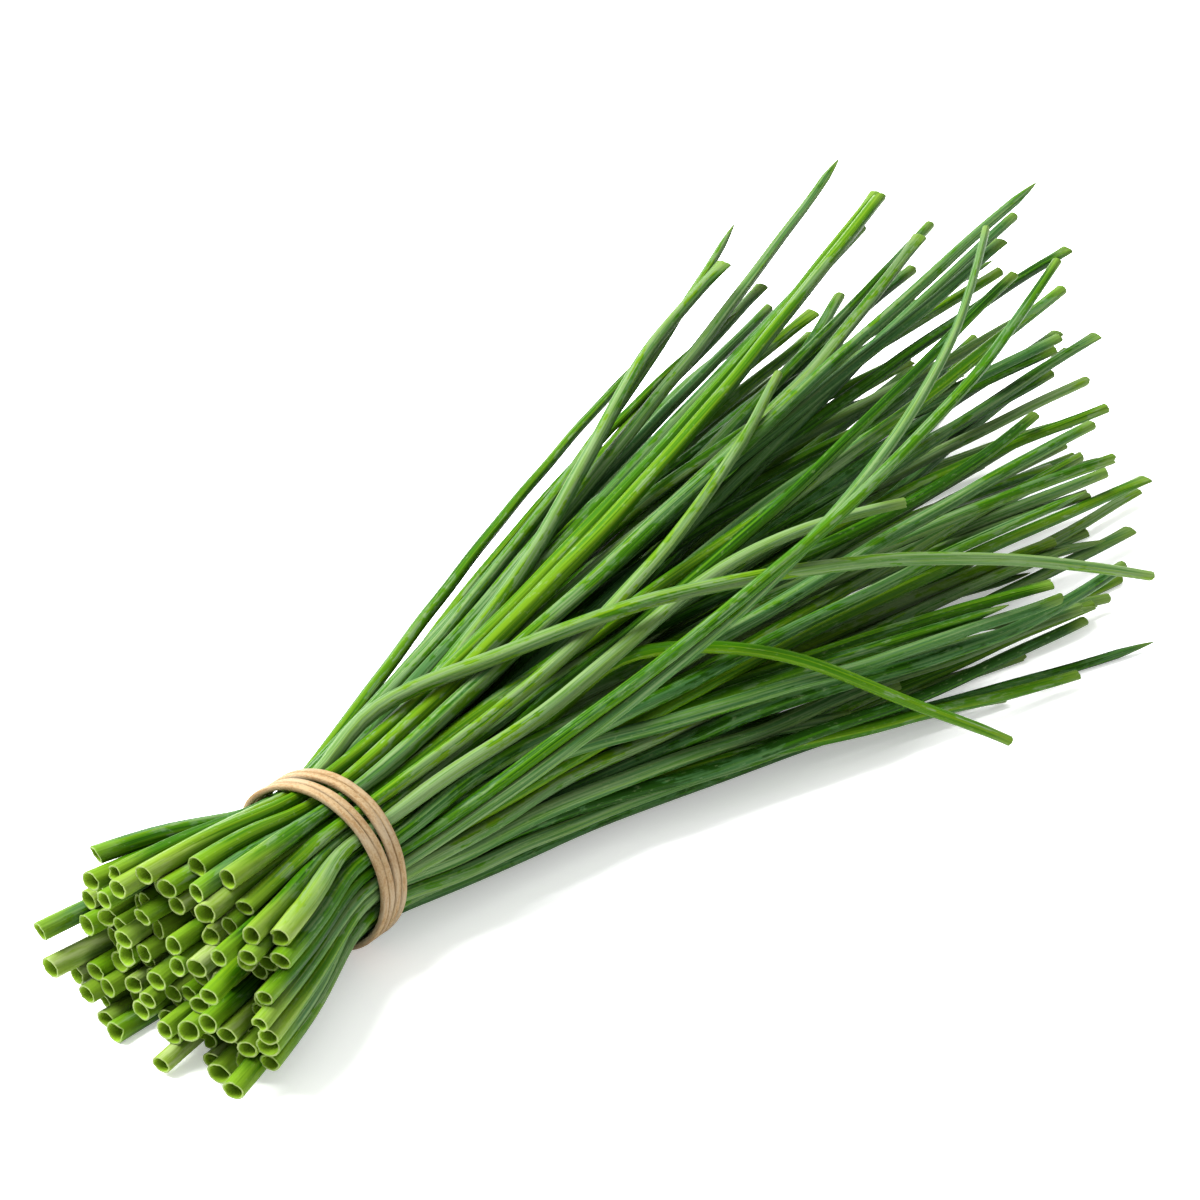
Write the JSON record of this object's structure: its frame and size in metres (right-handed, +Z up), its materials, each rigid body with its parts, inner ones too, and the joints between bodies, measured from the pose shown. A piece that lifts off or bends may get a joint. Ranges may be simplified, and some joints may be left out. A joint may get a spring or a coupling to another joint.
{
  "type": "chive bunch",
  "caption": "Bunch of long hollow chive leaves lying down, cut ends level at one side and tips fanned out at the other, held near the cut ends by a wound rubber band.",
  "frame": {"origin": "on the surface the bunch lies on, under the rubber band, at the middle of the flat underside of its second turn", "axes": "+X along the bunch from the cut ends towards the tips, +Z up from the surface it lies on, -Y the side whose tips lie low"},
  "size_m": [0.3135, 0.1354, 0.0613],
  "materials": {
    "leaf": "fresh green chive leaf, satin, with a bluish waxy bloom in patches and paler cut ends",
    "rubber": "tan natural rubber, matt"
  },
  "bodies": {
    "root": {"leaf_curled": "leaf", "leaf_drooping": "leaf", "leaf_far_long": "leaf", "leaf_far_longest": "leaf", "leaf_far_pointed": "leaf", "leaf_far_thin": "leaf", "leaf_low_far": "leaf", "leaf_low_middle": "leaf", "leaf_low_near": "leaf", "leaf_low_pointed": "leaf", "leaf_over_bright": "leaf", "leaf_over_steep": "leaf", "leaf_pair_01": "leaf", "leaf_pair_02": "leaf", "leaf_pair_03": "leaf", "leaf_pair_04": "leaf", "leaf_pair_05": "leaf", "leaf_pair_06": "leaf", "leaf_pair_07": "leaf", "leaf_pair_08": "leaf", "leaf_pair_09": "leaf", "leaf_pair_10": "leaf", "leaf_pair_11": "leaf", "leaf_pair_12": "leaf", "leaf_pair_13": "leaf", "leaf_pair_14": "leaf", "leaf_pair_15": "leaf", "leaf_pair_16": "leaf", "leaf_pair_17": "leaf", "leaf_pair_18": "leaf", "leaf_pair_19": "leaf", "leaf_pair_20": "leaf", "leaf_pair_21": "leaf", "leaf_pair_22": "leaf", "leaf_pair_23": "leaf", "leaf_pair_24": "leaf", "leaf_pair_25": "leaf", "leaf_pair_26": "leaf", "leaf_pair_27": "leaf", "leaf_pair_28": "leaf", "leaf_pair_29": "leaf", "leaf_pair_30": "leaf", "leaf_pair_31": "leaf", "leaf_pair_32": "leaf", "leaf_pair_33": "leaf", "leaf_pair_34": "leaf", "leaf_pair_35": "leaf", "leaf_pair_36": "leaf", "leaf_pair_37": "leaf", "leaf_pair_38": "leaf", "leaf_pair_39": "leaf", "leaf_pair_40": "leaf", "leaf_pair_41": "leaf", "leaf_pair_42": "leaf", "leaf_pair_43": "leaf", "leaf_pair_44": "leaf", "leaf_pair_45": "leaf", "leaf_sweeping": "leaf", "leaf_top_short": "leaf", "rubber_band": "rubber"}
  },
  "joints": []
}
